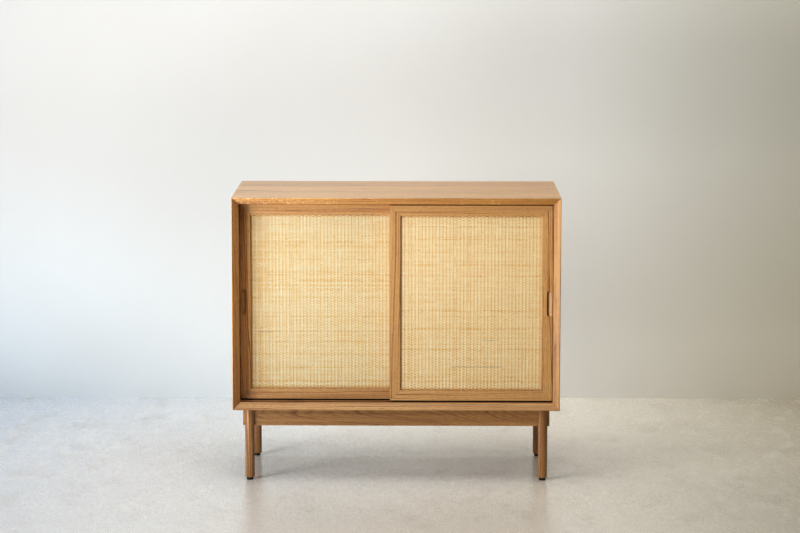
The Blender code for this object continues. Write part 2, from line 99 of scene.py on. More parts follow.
def applyModifier(piece, kind, **settings):
    pickOnly(piece)
    bpy.ops.object.modifier_add(type=kind)
    modifier = piece.modifiers[-1]
    for key, value in settings.items():
        setattr(modifier, key, value)
    bpy.ops.object.modifier_apply(modifier=modifier.name)


def copyOf(piece, name):
    twin = bpy.data.objects.new(name, piece.data.copy())
    scene.collection.objects.link(twin)
    return twin


def joinInto(first, other):
    pickOnly(first)
    other.select_set(True)
    bpy.ops.object.join()
    return first


# Small helpers for shader trees

def feed(tree, socket, value):
    # value is another node's socket, or a plain number, colour or vector
    if isinstance(value, bpy.types.NodeSocket):
        tree.links.new(value, socket)
    else:
        socket.default_value = value


def feedAll(tree, sockets, values):
    for name, value in values.items():
        feed(tree, sockets[name.replace("_", " ")], value)


def addNode(tree, kind, settings=(), **inputs):
    node = tree.nodes.new("ShaderNode" + kind)
    for key, value in dict(settings).items():
        setattr(node, key, value)
    feedAll(tree, node.inputs, inputs)
    return node


def calc(tree, operation, *values, clamp=False):
    node = addNode(tree, "Math", {"operation": operation, "use_clamp": clamp})
    for socket, value in zip(node.inputs, values):
        feed(tree, socket, value)
    return node.outputs[0]


def addUp(tree, total, *values, clamp=False):
    for value in values:
        total = calc(tree, "ADD", total, value, clamp=clamp)
    return total


def less(tree, first, second):
    return calc(tree, "SUBTRACT", first, second)


def times(tree, first, second):
    return calc(tree, "MULTIPLY", first, second)


def offCentre(tree, value, weight):
    # how far a noise lies from its middle, times its weight
    return times(tree, less(tree, value, 0.5), weight)


def vectorCalc(tree, operation, *values):
    node = addNode(tree, "VectorMath", {"operation": operation})
    for socket, value in zip(node.inputs, values):
        feed(tree, socket, value)
    return node.outputs["Value" if operation == "LENGTH" else "Vector"]


def noise(tree, place, stretch, detail=2.0, roughness=0.5, output="Fac"):
    # stretch is how many grains of the noise lie in a metre, along each axis
    scaled = vectorCalc(tree, "MULTIPLY", place, stretch)
    node = addNode(
        tree, "TexNoise", Vector=scaled, Scale=1.0, Detail=detail, Roughness=roughness)
    return node.outputs[output]


def soften(tree, value, low, high, least=0.0, most=1.0):
    # a smooth step from least to most, while the value goes from low to high
    node = addNode(
        tree, "MapRange", {"interpolation_type": "SMOOTHSTEP"},
        Value=value, From_Min=low, From_Max=high, To_Min=least, To_Max=most)
    return node.outputs["Result"]


def howFar(tree, place, middle, reach):
    # how far a place is from the middle, as a share of the reach along each axis
    away = vectorCalc(tree, "SUBTRACT", place, middle)
    return vectorCalc(tree, "LENGTH", vectorCalc(tree, "DIVIDE", away, reach))


def spots(tree, place, plan):
    # a noise that shows only where it is high, with soft edges
    stretch, detail, roughness, reach = plan
    return soften(tree, noise(tree, place, stretch, detail, roughness), *reach)


def blendColours(tree, share, first, second, way="MIX"):
    node = addNode(
        tree, "Mix", {"data_type": "RGBA", "blend_type": way, "clamp_factor": True})
    # the colour sockets of the Mix node are its seventh and eighth
    feed(tree, node.inputs[0], share)
    feed(tree, node.inputs[6], first)
    feed(tree, node.inputs[7], second)
    return node.outputs[2]


def greyRamp(tree, value, stops):
    node = addNode(tree, "ValToRGB", Fac=value)
    elements = node.color_ramp.elements
    while len(elements) < len(stops):
        elements.new(0.5)
    for element, (position, grey) in zip(elements, stops):
        element.position = position
        element.color = (grey, grey, grey, 1)
    return node.outputs["Color"]


def split(tree, place):
    return addNode(tree, "SeparateXYZ", Vector=place).outputs


def combine(tree, **parts):
    return addNode(tree, "CombineXYZ", **parts).outputs[0]


def chanceOf(tree, number):
    return addNode(
        tree, "TexWhiteNoise", {"noise_dimensions": "1D"}, W=number).outputs["Value"]


def arrange(tree):
    # columns from left to right, in the order that the nodes feed each other
    column = {node: 0 for node in tree.nodes}
    moved = True
    while moved:
        moved = False
        for link in tree.links:
            if column[link.from_node] <= column[link.to_node]:
                column[link.from_node] = column[link.to_node] + 1
                moved = True
    rows = {}
    for node in tree.nodes:
        row = rows.get(column[node], 0)
        rows[column[node]] = row + 1
        node.location = (-230 * column[node], -190 * row)


def newGroup(name, inputs, outputs=(("Color", "Color"),)):
    tree = bpy.data.node_groups.new(name, "ShaderNodeTree")
    for socketName, kind, *usual in inputs:
        socket = tree.interface.new_socket(
            socketName, in_out="INPUT", socket_type="NodeSocket" + kind)
        if usual:
            socket.default_value = usual[0]
    for socketName, kind in outputs:
        tree.interface.new_socket(
            socketName, in_out="OUTPUT", socket_type="NodeSocket" + kind)
    start = tree.nodes.new("NodeGroupInput")
    end = tree.nodes.new("NodeGroupOutput")
    return tree, start.outputs, end.inputs


def useGroup(tree, group, **inputs):
    return addNode(tree, "Group", {"node_tree": group}, **inputs).outputs


def recolour(tree, group, place, colour, **inputs):
    return useGroup(tree, group, Place=place, Color=colour, **inputs)["Color"]


def finishTree(tree, sockets, **values):
    feedAll(tree, sockets, values)
    arrange(tree)
    return tree


def newMaterial(name):
    material = bpy.data.materials.new(name)
    material.use_nodes = True
    tree = material.node_tree
    tree.nodes.clear()
    shader = tree.nodes.new("ShaderNodeBsdfPrincipled")
    output = tree.nodes.new("ShaderNodeOutputMaterial")
    tree.links.new(shader.outputs[0], output.inputs["Surface"])
    return material, tree, shader.inputs, addNode(tree, "TexCoord").outputs["Object"]


def bumpOf(tree, height, depth):
    bump = addNode(tree, "Bump", Height=height, Strength=1.0, Distance=depth)
    return bump.outputs["Normal"]


def colourOf(red, green, blue):
    # a colour as a screen shows it, 0 to 255, made linear
    def linear(value):
        share = value / 255
        return share / 12.92 if share <= 0.04045 else ((share + 0.055) / 1.055) ** 2.4
    return (linear(red), linear(green), linear(blue), 1.0)


plain = (1.0, 1.0, 1.0, 1.0)


# Painted light: a slow change of tint along the cabinet, on its wood and its cane, cooler at the
# left end and warmer at the right

paintedLightTints = {
    "from": -0.45,
    "to": 0.45,
    "usual": ((0.98, 1.01, 1.07, 1), (1.0, 0.975, 0.91, 1)),
}


def buildPaintedLightGroup():
    tree, given, result = newGroup("paintedLightTint", [
        ("Place", "Vector"), ("Color", "Color"), ("Left Tint", "Color"), ("Right Tint", "Color"),
    ])
    aside = split(tree, given["Place"])["X"]
    share = soften(tree, aside, paintedLightTints["from"], paintedLightTints["to"])
    tint = blendColours(tree, share, given["Left Tint"], given["Right Tint"])
    tinted = blendColours(tree, 1.0, given["Color"], tint, "MULTIPLY")
    return finishTree(tree, result, Color=tinted)


paintedLightGroup = buildPaintedLightGroup()


def paintLightTints(tree, place, colour, tints):
    left, right = tints
    return recolour(tree, paintedLightGroup, place, colour, Left_Tint=left, Right_Tint=right)


# Oak: one log, cut anywhere. Rings round the pith, pores in the spring wood, rays across them

oakLook = {
    "lightWood": colourOf(202, 158, 104),
    "darkWood": colourOf(148, 98, 56),
    "poreWood": colourOf(92, 56, 30),
    "rayWood": colourOf(222, 184, 134),
    # the ends of a board drink more oil, so end grain is darker
    "endWood": colourOf(112, 70, 36),
    "endReach": (0.75, 0.95),
    "endStrength": 0.5,
    "poreDepth": 0.00007,
    "coatRoughness": 0.35,
}

# grains in a metre along, across and through the log, detail, roughness, and where it shows
oakNoise = {
    "wander": ((2.1, 13, 13), 1.5, 0.45),
    "wobble": ((9, 160, 160), 1.0),
    "pores": ((75, 1700, 1700), 1.0, 0.5, (0.56, 0.66)),
    "fibre": ((22, 950, 950), 2.0),
    "streak": ((1.3, 115, 115), 3.0, 0.6),
    "patch": ((3.0, 9, 9), 2.0),
    "rays": ((95, 1500, 42), 1.0, 0.5, (0.6, 0.68)),
}

oakGrowth = {
    "staveShift": 7.0,
    "wobble": 0.8,
    # across one ring: the share of spring wood
    "springWood": ((0.0, 0.0), (0.08, 1.0), (0.34, 0.72), (0.62, 0.12), (1.0, 0.0)),
    "poreSpring": (0.1, 0.8, 0.16, 1.0),
    "rayCurl": 0.11,
}

# how much each thing darkens the wood, then how much of a ray or a pore shows
oakShades = {
    "base": 0.16,
    "leastRing": 0.16,
    "ring": 0.85,
    "ringPower": 1.6,
    "streak": 2.2,
    "patch": 0.5,
    "fibre": 0.5,
    "stave": 0.35,
    "rayShows": 0.6,
    "poreShows": 0.62,
}

oakTouch = {
    "roughness": 0.40,
    "poreRoughness": 0.28,
    "fibreRoughness": 0.14,
    "rayGloss": 0.08,
    "fibreHeight": 0.25,
    "springDip": 0.2,
}


def buildOakGroup():
    tree, given, result = newGroup("oakGrain", [
        ("Place", "Vector"), ("Stave Width", "Float", 2.0), ("Stave Spread", "Float", 0.0),
        ("Ring Width", "Float", 0.003), ("Figure", "Float", 0.006), ("Taper", "Float", 0.012),
        ("Seed", "Float", 0.0), ("Contrast", "Float", 1.0), ("Rays", "Float", 1.0),
        ("Tone", "Float", 0.0), ("Light Wood", "Color", oakLook["lightWood"]),
        ("Dark Wood", "Color", oakLook["darkWood"]), ("Pore Wood", "Color", oakLook["poreWood"]),
        ("Ray Wood", "Color", oakLook["rayWood"]),
    ], [("Color", "Color"), ("Roughness", "Float"), ("Height", "Float")])

    # staves across the board: each is cut from its own part of the log
    parts = split(tree, given["Place"])
    staves = calc(tree, "DIVIDE", parts[1], given["Stave Width"])
    staveNumber = calc(tree, "FLOOR", addUp(tree, staves, 0.5))
    staveMiddle = times(tree, staveNumber, given["Stave Width"])
    inStave = less(tree, parts[1], staveMiddle)
    pick = combine(tree, X=staveNumber, Y=given["Seed"])
    chance = addNode(tree, "TexWhiteNoise", {"noise_dimensions": "3D"}, Vector=pick)
    chances = addNode(tree, "SeparateColor", Color=chance.outputs["Color"]).outputs
    centred = [less(tree, chances[index], 0.5) for index in range(3)]
    along = addUp(tree, parts[0], times(tree, centred[2], oakGrowth["staveShift"]))
    across = addUp(tree, inStave, times(tree, centred[0], given["Stave Spread"]))
    deep = addUp(tree, parts[2], times(tree, chances[1], given["Stave Spread"]))
    log = combine(tree, X=along, Y=across, Z=deep)

    # growth wanders slowly along the log, and a little within each ring
    wander = noise(tree, log, *oakNoise["wander"], output="Color")
    slow = vectorCalc(tree, "SUBTRACT", wander, (0.5, 0.5, 0.5))
    sway = combine(tree, Y=given["Figure"], Z=given["Figure"])
    bent = vectorCalc(tree, "ADD", log, vectorCalc(tree, "MULTIPLY", slow, sway))
    flat = vectorCalc(tree, "MULTIPLY", bent, (0, 1, 1))
    narrowing = times(tree, along, given["Taper"])
    radius = less(tree, vectorCalc(tree, "LENGTH", flat), narrowing)
    wobble = times(tree, noise(tree, log, *oakNoise["wobble"]), oakGrowth["wobble"])
    rings = addUp(tree, calc(tree, "DIVIDE", radius, given["Ring Width"]), wobble)
    ringNumber = calc(tree, "FLOOR", rings)
    ringChance = chanceOf(tree, ringNumber)
    springWood = greyRamp(tree, calc(tree, "FRACT", rings), oakGrowth["springWood"])

    # pores: long open vessels, most of them in the spring wood
    vessels = spots(tree, log, oakNoise["pores"])
    pores = times(tree, vessels, soften(tree, springWood, *oakGrowth["poreSpring"]))
    fibre = noise(tree, log, *oakNoise["fibre"])
    streak = noise(tree, log, *oakNoise["streak"])
    patch = noise(tree, log, *oakNoise["patch"])

    # rays: thin ribbons out from the pith, bright where the board is cut along them
    bentParts = split(tree, flat)
    angle = calc(tree, "ARCTAN2", bentParts[2], bentParts[1])
    turned = times(tree, angle, oakGrowth["rayCurl"])
    rayPlace = combine(tree, X=along, Y=turned, Z=radius)
    ribbons = spots(tree, rayPlace, oakNoise["rays"])
    rays = times(tree, ribbons, given["Rays"])

    # colour
    ringPower = calc(tree, "POWER", ringChance, oakShades["ringPower"])
    ringShade = times(tree, ringPower, oakShades["ring"])
    ringShade = addUp(tree, oakShades["leastRing"], ringShade)
    dark = times(tree, springWood, ringShade)
    for name, value in (("streak", streak), ("patch", patch), ("fibre", fibre)):
        dark = addUp(tree, dark, offCentre(tree, value, oakShades[name]))
    dark = addUp(
        tree, times(tree, dark, given["Contrast"]), given["Tone"],
        times(tree, centred[1], oakShades["stave"]))
    dark = addUp(tree, dark, oakShades["base"], clamp=True)
    wood = blendColours(tree, dark, given["Light Wood"], given["Dark Wood"])
    wood = blendColours(tree, times(tree, rays, oakShades["rayShows"]), wood, given["Ray Wood"])
    wood = blendColours(tree, times(tree, pores, oakShades["poreShows"]), wood, given["Pore Wood"])

    rough = addUp(
        tree, oakTouch["roughness"],
        times(tree, pores, oakTouch["poreRoughness"]),
        times(tree, fibre, oakTouch["fibreRoughness"]))
    rough = less(tree, rough, times(tree, rays, oakTouch["rayGloss"]))
    raised = times(tree, fibre, oakTouch["fibreHeight"])
    dip = times(tree, springWood, oakTouch["springDip"])
    height = less(tree, less(tree, raised, pores), dip)
    return finishTree(tree, result, Color=wood, Roughness=rough, Height=height)


oakGroup = buildOakGroup()


# Fingers have darkened the wood in and round each finger pull

touchLook = {
    "reach": (0.0085, 0.012, 0.040),
    "fade": (1.35, 0.95),
    "ragged": 0.3,
    "raggedNoise": ((90, 90, 40), 2.0),
    "strength": 0.3,
    "colour": colourOf(170, 118, 64),
}

# the middle of each finger pull
pullPlaces = {
    "left_door": (-0.4205, -0.172, 0.5),
    "right_door": (0.4205, -0.197, 0.5),
}


def buildTouchGroup():
    tree, given, result = newGroup("fingerTouch", [
        ("Place", "Vector"), ("Color", "Color"), ("Middle", "Vector"),
    ])
    near = howFar(tree, given["Place"], given["Middle"], touchLook["reach"])
    ragged = noise(tree, given["Place"], *touchLook["raggedNoise"])
    far = addUp(tree, near, times(tree, ragged, touchLook["ragged"]))
    share = soften(tree, far, *touchLook["fade"], 0.0, touchLook["strength"])
    touched = blendColours(tree, share, given["Color"], touchLook["colour"])
    return finishTree(tree, result, Color=touched)


touchGroup = buildTouchGroup()


# The top's bevel is darkened with painted shade, and its rays show as bright dashes, in patches

fleckLook = {
    "bevelShade": (0.92, 0.87, 0.86, 1),
    "slope": (0.3, 0.45),
    "dashes": ((190, 60, 170), 1.0, 0.5, (0.56, 0.66)),
    "patches": ((5.5, 1, 1), 1.0, 0.5, (0.46, 0.6)),
    "patchShift": (0.1, 0, 0),
    "colour": colourOf(246, 214, 160),
    "strength": 0.45,
}


def addFlecks(tree, place, facing, colour):
    slope = calc(tree, "ABSOLUTE", times(tree, facing[1], facing[2]))
    sloped = soften(tree, slope, *fleckLook["slope"])
    # painted shade on the sloped bevel faces
    colour = blendColours(tree, sloped, colour, fleckLook["bevelShade"], "MULTIPLY")
    dashes = spots(tree, place, fleckLook["dashes"])
    shifted = vectorCalc(tree, "SUBTRACT", place, fleckLook["patchShift"])
    patches = spots(tree, shifted, fleckLook["patches"])
    share = times(tree, sloped, times(tree, dashes, patches))
    share = times(tree, share, fleckLook["strength"])
    return blendColours(tree, share, colour, fleckLook["colour"])


# how a board's own axes lie in the log: its length runs along the log's first axis
boardTurns = {
    "x": (0, 0, 0),
    "y": (0, 0, -pi / 2),
    "z": (0, pi / 2, 0),
}

boardDefaults = {
    "pith": (0.0, 0.055, 0.0),
    "staveWidth": 2.0,
    "staveSpread": 0.0,
    "ringWidth": 0.0028,
    "figure": 0.007,
    "taper": 0.012,
    "contrast": 1.0,
    "rays": 0.6,
    "tone": 0.0,
    "lightWood": oakLook["lightWood"],
    "darkWood": oakLook["darkWood"],
    "shine": 0.5,
    "coat": 0.3,
    "ends": paintedLightTints["usual"],
    "flecks": False,
    "pull": None,
}


def makeOak(name, centre, seed, board):
    material, tree, surface, place = newMaterial(name)
    settings = {**boardDefaults, **board}
    turn = boardTurns[settings["grain"]]
    pith = centre + Vector(settings["pith"])
    onLog = addNode(
        tree, "Mapping", {"vector_type": "POINT"},
        Vector=place, Rotation=turn, Location=-(Euler(turn).to_matrix() @ pith))
    grain = useGroup(
        tree, oakGroup,
        Place=onLog.outputs[0],
        Stave_Width=settings["staveWidth"],
        Stave_Spread=settings["staveSpread"],
        Ring_Width=settings["ringWidth"],
        Figure=settings["figure"],
        Taper=settings["taper"],
        Seed=seed,
        Contrast=settings["contrast"],
        Rays=settings["rays"],
        Tone=settings["tone"],
        Light_Wood=settings["lightWood"],
        Dark_Wood=settings["darkWood"],
        Pore_Wood=oakLook["poreWood"],
        Ray_Wood=oakLook["rayWood"],
    )
    facing = split(tree, addNode(tree, "NewGeometry").outputs["Normal"])
    endOn = calc(tree, "ABSOLUTE", facing["xyz".index(settings["grain"])])
    endShare = soften(tree, endOn, *oakLook["endReach"], 0.0, oakLook["endStrength"])
    colour = blendColours(tree, endShare, grain["Color"], oakLook["endWood"])
    if settings["pull"]:
        colour = recolour(tree, touchGroup, place, colour, Middle=settings["pull"])
    if settings["flecks"]:
        colour = addFlecks(tree, place, facing, colour)
    finishTree(
        tree, surface,
        # the base colour carries the painted light tints along the cabinet
        Base_Color=paintLightTints(tree, place, colour, settings["ends"]),
        Roughness=grain["Roughness"],
        Normal=bumpOf(tree, grain["Height"], oakLook["poreDepth"]),
        Specular_IOR_Level=settings["shine"],
        Coat_Weight=settings["coat"],
        Coat_Roughness=oakLook["coatRoughness"],
    )
    return material


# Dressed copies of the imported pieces: merged, rounded edges shaded smooth, own material

dressing = {
    "mergeWithin": 0.000004,
    "flatWithin": 0.3,
    "smoothBelow": 32,
    "normalWeight": 80,
}


def dressNode(nodeName, material):
    node = nodes[nodeName]
    piece = copyOf(node, nodeName + ".dressed")
    pickOnly(piece)
    bpy.ops.mesh.customdata_custom_splitnormals_clear()
    editAll(piece)
    bpy.ops.mesh.remove_doubles(threshold=dressing["mergeWithin"])
    bpy.ops.mesh.dissolve_limited(angle_limit=radians(dressing["flatWithin"]))
    backToObject()
    bpy.ops.object.shade_smooth_by_angle(angle=radians(dressing["smoothBelow"]))
    applyModifier(
        piece, "WEIGHTED_NORMAL", keep_sharp=True, weight=dressing["normalWeight"])
    piece.data.materials.clear()
    piece.data.materials.append(material)
    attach(piece, body_of(node)[0])
    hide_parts(nodeName)


caseBoards = {
    "top_panel": dict(
        grain="x", pith=(0, 0.03, -0.06), staveWidth=0.092, staveSpread=0.12,
        rays=2.4, contrast=0.8, tone=0.03, shine=0.3, coat=0.9,
        lightWood=colourOf(206, 159, 94), flecks=True,
        # painted reflection: a cool sheen tint at the top's left end, a warm tint at its right
        ends=((1.05, 1.11, 1.28, 1), (0.95, 0.895, 0.68, 1))),
    "bottom_panel": dict(
        grain="x", pith=(0, 0.05, -0.05), staveWidth=0.088, staveSpread=0.12,
        tone=0.08, shine=0.3, lightWood=colourOf(202, 164, 112),
        # painted light tints along the bottom, cooler at the left and warmer at the right
        ends=((0.97, 1.01, 1.05, 1), (0.93, 0.91, 0.82, 1))),
    "left_side_panel": dict(
        grain="z", pith=(0.05, 0.03, 0), staveWidth=0.095, staveSpread=0.12,
        contrast=0.6, tone=-0.1, lightWood=colourOf(211, 157, 98)),
    "right_side_panel": dict(
        grain="z", pith=(-0.05, 0.02, 0), staveWidth=0.095, staveSpread=0.12,
        contrast=0.55, tone=0.1, lightWood=colourOf(195, 157, 107)),
    "centre_divider": dict(
        grain="z", pith=(0.04, 0.03, 0), staveWidth=0.07, staveSpread=0.1),
    "left_shelf": dict(
        grain="x", pith=(0, 0.02, -0.06), staveWidth=0.075, staveSpread=0.1),
    "right_shelf": dict(
        grain="x", pith=(0, 0.04, -0.06), staveWidth=0.075, staveSpread=0.1),
}

baseBoards = {
    "front_rail": dict(
        grain="x", pith=(0.1, 0.06, 0.03), ringWidth=0.0045, taper=0.11,
        figure=0.05, contrast=0.75, tone=0.2),
    "rear_rail": dict(grain="x", pith=(0, -0.04, 0.01), taper=0.025, figure=0.015),
    "left_cross_rail": dict(grain="y", pith=(0.02, 0, 0.05)),
    "right_cross_rail": dict(grain="y", pith=(0.03, 0, 0.06)),
    "front_left_leg": dict(
        grain="z", pith=(0.05, 0.04, 0), ringWidth=0.0045, contrast=1.3,
        tone=0.36),
    "front_right_leg": dict(
        grain="z", pith=(-0.04, 0.05, 0), ringWidth=0.0045, tone=0.2),
    "rear_left_leg": dict(
        grain="z", pith=(0.06, -0.03, 0), ringWidth=0.0045, tone=0.5),
    "rear_right_leg": dict(
        grain="z", pith=(0.05, 0.05, 0), ringWidth=0.0045, tone=0.35),
}

doorBoards = {
    "outer_stile": dict(
        grain="z", pith=(0.07, 0.035, 0), ringWidth=0.005, contrast=1.5,
        taper=0.03, figure=0.012),
    "inner_stile": dict(
        grain="z", pith=(-0.08, 0.04, 0), ringWidth=0.0065, contrast=0.85,
        taper=0.012, figure=0.014),
    "top_rail": dict(
        grain="x", pith=(0, 0.03, 0.09), ringWidth=0.004, contrast=0.9),
    "bottom_rail": dict(
        grain="x", pith=(0, 0.02, -0.11), ringWidth=0.005, contrast=1.25),
    "outer_bead": dict(grain="z", pith=(0.05, 0.02, 0)),
    "inner_bead": dict(grain="z", pith=(0.06, 0.02, 0)),
    "top_bead": dict(grain="x", pith=(0, 0.02, 0.05)),
    "bottom_bead": dict(grain="x", pith=(0, 0.02, 0.06)),
    "top_tongue": dict(grain="x", pith=(0, 0.02, 0.08)),
}

# boards of the doors that came out lighter, darker or warmer than their fellows
doorChanges = {
    "left_door_outer_stile": dict(
        lightWood=colourOf(213, 158, 86), darkWood=colourOf(156, 98, 42)),
    "left_door_top_rail": dict(tone=-0.18),
    "left_door_bottom_rail": dict(tone=0.12),
    "right_door_top_rail": dict(tone=-0.1),
    "right_door_bottom_rail": dict(tone=-0.42, lightWood=colourOf(209, 168, 114)),
    "right_door_outer_stile": dict(tone=-0.48, lightWood=colourOf(206, 164, 110)),
    "right_door_inner_stile": dict(tone=-0.08),
}

# from one board's seed to the next
seedStep = 3.7


def boardList():
    boards = {**caseBoards, **baseBoards}
    for door, pull in pullPlaces.items():
        for part, board in doorBoards.items():
            nodeName = f"{door}_{part}"
            boards[nodeName] = {**board, **doorChanges.get(nodeName, {})}
        boards[f"{door}_outer_stile"]["pull"] = pull
    return boards


def dressOak():
    boards = boardList()
    for number, (nodeName, board) in enumerate(boards.items()):
        low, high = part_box(nodeName)
        material = makeOak("oak." + nodeName, (low + high) / 2, number * seedStep, board)
        dressNode(nodeName, material)
    print("oak boards dressed:", len(boards))


# Birch ply for the back: a peeled veneer has broad, wandering figure

plyLook = {
    "light": colourOf(232, 205, 164),
    "dark": colourOf(208, 172, 124),
    "figureNoise": ((1.4, 1, 7), 3.0),
    "bands": 7.0,
    "fibreNoise": ((500, 500, 9), 2.0),
    "flecks": ((420, 420, 60), 1.0, 0.5, (0.64, 0.72)),
    "bandShare": 0.9,
    "fibreShare": 0.35,
    "fleckShare": 0.3,
    "roughness": 0.5,
    "fibreRoughness": 0.2,
    "depth": 0.00004,
}


def makePly():
    material, tree, surface, place = newMaterial("birchPly")
    wander = noise(tree, place, *plyLook["figureNoise"])
    figure = calc(tree, "FRACT", times(tree, wander, plyLook["bands"]))
    bands = times(tree, calc(tree, "PINGPONG", figure, 0.5), plyLook["bandShare"])
    fibre = noise(tree, place, *plyLook["fibreNoise"])
    fleck = spots(tree, place, plyLook["flecks"])
    share = addUp(
        tree, bands, times(tree, fibre, plyLook["fibreShare"]),
        times(tree, fleck, plyLook["fleckShare"]), clamp=True)
    colour = blendColours(tree, share, plyLook["light"], plyLook["dark"])
    rough = addUp(tree, plyLook["roughness"], times(tree, fibre, plyLook["fibreRoughness"]))
    bump = bumpOf(tree, less(tree, fibre, fleck), plyLook["depth"])
    finishTree(tree, surface, Base_Color=colour, Roughness=rough, Normal=bump)
    return material


# Black nylon of the tracks, runners and glides, and bright steel of the pins and screws

nylonLook = {
    "name": "blackNylon",
    "fresh": colourOf(22, 21, 21),
    "worn": colourOf(40, 39, 39),
    "wear": ((60, 420, 420), 3.0, 0.5, (0.5, 0.75)),
    "roughness": 0.58,
    "wornRoughness": -0.2,
    "metal": 0.0,
    "toolMarks": ((2600, 2600, 2600), 2.0),
    "markDepth": 0.00002,
}

steelLook = {
    "name": "brightSteel",
    "fresh": colourOf(196, 194, 190),
    "worn": colourOf(142, 140, 137),
    "wear": ((300, 300, 300), 3.0, 0.5, (0.42, 0.7)),
    "roughness": 0.24,
    "wornRoughness": 0.2,
    "metal": 1.0,
    "toolMarks": ((900, 900, 5200), 2.0),
    "markDepth": 0.000015,
}


def makeHardware(look):
    material, tree, surface, place = newMaterial(look["name"])
    worn = spots(tree, place, look["wear"])
    marks = noise(tree, place, *look["toolMarks"])
    finishTree(
        tree, surface,
        Base_Color=blendColours(tree, worn, look["fresh"], look["worn"]),
        Roughness=addUp(tree, look["roughness"], times(tree, worn, look["wornRoughness"])),
        Normal=bumpOf(tree, marks, look["markDepth"]),
        Metallic=look["metal"],
    )
    return material


def dressHardware():
    finishes = {
        "black_nylon": makeHardware(nylonLook),
        "steel": makeHardware(steelLook),
        "back_ply": makePly(),
    }
    count = 0
    for nodeName, node in nodes.items():
        slotName = node.data.materials[0].name
        if slotName in finishes:
            dressNode(nodeName, finishes[slotName])
            count += 1
    print("nylon, steel and ply dressed:", count)


# Woven cane: round stakes stand upright, flat strands weave over and under them

caneWeave = {
    "stakeEvery": 0.0095,
    "stakeThick": 0.0028,
    "rowEvery": 0.0035,
    "strandWide": 0.0044,
    "strandThick": 0.0008,
    "air": 0.00005,
    "stepsPerStake": 4,
    "strandSides": 6,
    "stakeSides": 8,
    "stakeStep": 0.02,
    "edgePlay": 0.0008,
    "joinWithin": 0.00002,
    # how far the weave drifts, and the size of a drift
    "drift": {"X": 0.0004, "Z": 0.0003},
    "driftGrain": {"X": 0.05, "Z": 0.04},
}

caneLook = {
    "straw": colourOf(250, 240, 212),
    "honey": colourOf(238, 211, 154),
    "amber": colourOf(226, 184, 108),
    "node": colourOf(184, 128, 62),
    # from one strand or stake to the next in the noise, so that no two are alike
    "strandsApart": 3.17,
    "stakesApart": 2.3,
    # along a strand, by its number, and across it
    "lengthNoise": ((17, 1, 0), 3.0, 0.6),
    "fibreNoise": ((55, 1, 4200), 2.0),
    "specks": ((150, 1, 300), 1.0, 0.5, (0.67, 0.74)),
    "lengthShare": 2.0,
    "fibreShare": 0.6,
    "speckShare": 0.4,
    # a few strands are riper, and each is darkened along its rounded edges with painted shade
    # where the rows meet
    "ripeChance": (0.84, 0.97),
    "ripeLengths": (0.35, 0.6),
    "ripeShare": 0.6,
    "edge": (0.0009, 0.0019),
    "edgeShare": 0.45,
    # painted shade: strands darken where they cross between the stakes, more along some stakes
    # than others
    "valleyReach": (0.3, 0.48),
    "valleyNoise": ((1, 13, 1), 3.0, 0.6),
    "valleyUneven": (0.36, 0.68, 0.6, 1.0),
    "valley": 0.82,
    # painted shade: a warm dark band where the frame's lip shades the cane; the frame covers the
    # first 7 mm
    "frameShade": colourOf(222, 164, 88),
    "frameShadeReach": (0.0165, 0.0069),
    "frameShadeStrength": 0.5,
    "shadedReach": (0.09, 0.0),
    "gloss": 0.42,
    "fibreRoughness": 0.18,
    "fibreDepth": 0.00006,
}

# painted shadow: a thin dark line for the gap that a slipped strand leaves
slipShadowLook = {
    "colour": colourOf(116, 84, 40),
    "strength": 0.62,
    "half": (0.0010, 0.0004),
    "fade": 0.015,
    "wanderNoise": ((30, 1, 1), 2.0),
    "wander": 0.003,
    "broken": (0.32, 0.5, 0.35, 1.0),
}

# how honeyed each door's cane has grown, its painted light tint, the painted shadow and weaker
# painted valley shade towards its left edge, and where slipped strands leave painted shadow lines:
# from, to and height
caneBatches = {
    "left_door": {
        "shade": 0.5, "tint": (0.98, 0.995, 1.015, 1), "shaded": (0.92, 0.85, 0.74, 1),
        "valleyLeft": 0.45, "slipShadows": [(-0.386, -0.335, 0.416)]},
    "right_door": {
        "shade": 0.28, "tint": (1.04, 1.02, 0.995, 1), "shaded": plain,
        "valleyLeft": 0.82, "slipShadows": [(0.150, 0.290, 0.323), (0.246, 0.279, 0.398)]},
}

# strands are split from the cane's skin, stakes are a riper core
caneKinds = {
    "Strand": {"riper": 0.0, "spread": 0.45, "seed": 40.3, "seedStep": 211},
    "Stake": {"riper": 0.13, "spread": 0.2, "seed": 17.7, "seedStep": 97},
}


